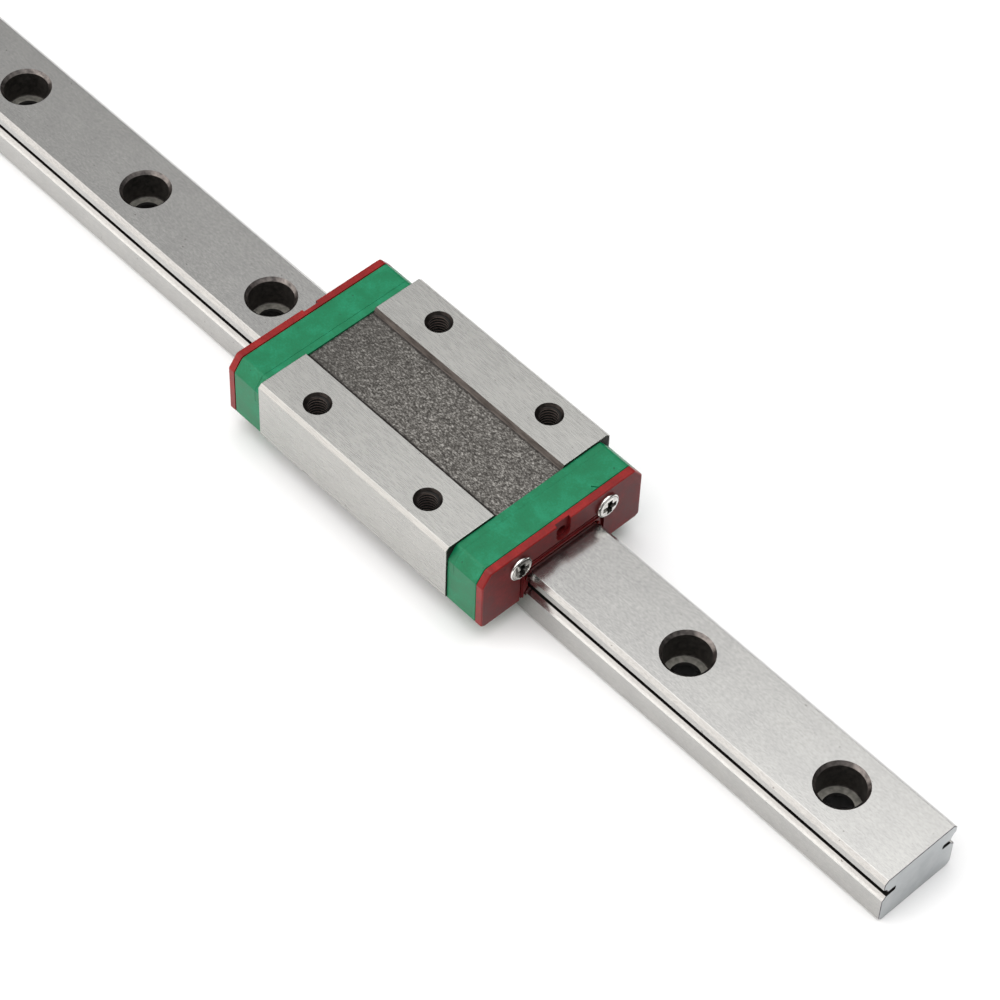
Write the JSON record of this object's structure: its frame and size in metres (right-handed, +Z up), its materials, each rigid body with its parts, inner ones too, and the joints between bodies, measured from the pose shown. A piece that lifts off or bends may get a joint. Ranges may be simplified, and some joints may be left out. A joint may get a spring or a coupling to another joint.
{
  "type": "linear guide carriage on a rail",
  "caption": "Low-profile recirculating-ball carriage with green end caps and red end seals, riding on a slim counterbored steel rail.",
  "frame": {"origin": "on the rail's underside, at the middle of its length and width", "axes": "+X along the rail towards the carriage's front end, +Y across the rail to the left, +Z up from the underside"},
  "size_m": [0.2, 0.027, 0.013],
  "materials": {
    "ground_steel": "fine ground, semi-bright",
    "block_steel": "ground pads and sides, dark cast recess and ends",
    "green_plastic": "moulded, satin",
    "red_seal": "moulded, satin",
    "chrome_screw": "bright plated",
    "ball_steel": "polished bearing steel",
    "wire_steel": "drawn wire",
    "natural_plastic": "natural, matt"
  },
  "bodies": {
    "rail": {"rail": "ground_steel"},
    "carriage": {"carriage_block": "block_steel", "end_cap_front": "green_plastic", "end_cap_rear": "green_plastic", "end_screw_front_left": "chrome_screw", "end_screw_front_right": "chrome_screw", "end_screw_rear_left": "chrome_screw", "end_screw_rear_right": "chrome_screw", "end_seal_front": "red_seal", "end_seal_rear": "red_seal", "load_ball_left_01": "ball_steel", "load_ball_left_02": "ball_steel", "load_ball_left_03": "ball_steel", "load_ball_left_04": "ball_steel", "load_ball_left_05": "ball_steel", "load_ball_left_06": "ball_steel", "load_ball_left_07": "ball_steel", "load_ball_left_08": "ball_steel", "load_ball_left_09": "ball_steel", "load_ball_left_10": "ball_steel", "load_ball_left_11": "ball_steel", "load_ball_left_12": "ball_steel", "load_ball_left_13": "ball_steel", "load_ball_left_14": "ball_steel", "load_ball_right_01": "ball_steel", "load_ball_right_02": "ball_steel", "load_ball_right_03": "ball_steel", "load_ball_right_04": "ball_steel", "load_ball_right_05": "ball_steel", "load_ball_right_06": "ball_steel", "load_ball_right_07": "ball_steel", "load_ball_right_08": "ball_steel", "load_ball_right_09": "ball_steel", "load_ball_right_10": "ball_steel", "load_ball_right_11": "ball_steel", "load_ball_right_12": "ball_steel", "load_ball_right_13": "ball_steel", "load_ball_right_14": "ball_steel", "retaining_wire_left": "wire_steel", "retaining_wire_right": "wire_steel", "return_balls_left": "ball_steel", "return_balls_right": "ball_steel", "return_guide_front_left": "natural_plastic", "return_guide_front_right": "natural_plastic", "return_guide_rear_left": "natural_plastic", "return_guide_rear_right": "natural_plastic"}
  },
  "joints": [
    {"name": "carriage_slide", "type": "slide", "parent": "rail", "child": "carriage", "axis": [1, 0, 0], "range_m": [-0.0948, 0.0588]}
  ]
}
